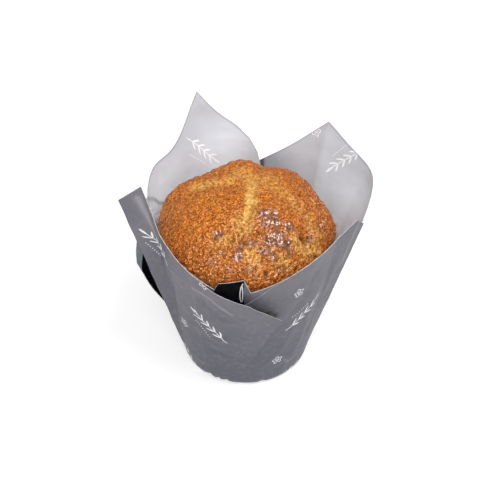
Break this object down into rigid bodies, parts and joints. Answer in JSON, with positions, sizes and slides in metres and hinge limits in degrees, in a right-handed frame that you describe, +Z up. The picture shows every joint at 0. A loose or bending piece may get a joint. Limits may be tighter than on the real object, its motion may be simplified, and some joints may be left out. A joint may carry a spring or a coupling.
{
  "type": "muffin in a tulip paper case",
  "caption": "Golden domed muffin with a cracked crust, standing in its folded tulip-shaped paper case with pointed petals and overlapping pleats.",
  "frame": {"origin": "middle of the flat base of the paper case", "axes": "+Z up through the muffin, -Y to the front where two panels of the case overlap, +X to the right seen from the front"},
  "size_m": [0.0963, 0.0868, 0.093],
  "materials": {
    "crust": "baked golden-brown crust with paler crumb in its cracks and a few sticky, glossy patches",
    "printed_paper": "matt greaseproof paper, grey outside with a fine white motif, light grey inside"
  },
  "bodies": {
    "root": {"muffin": "crust", "paper_case": "printed_paper"}
  },
  "joints": []
}
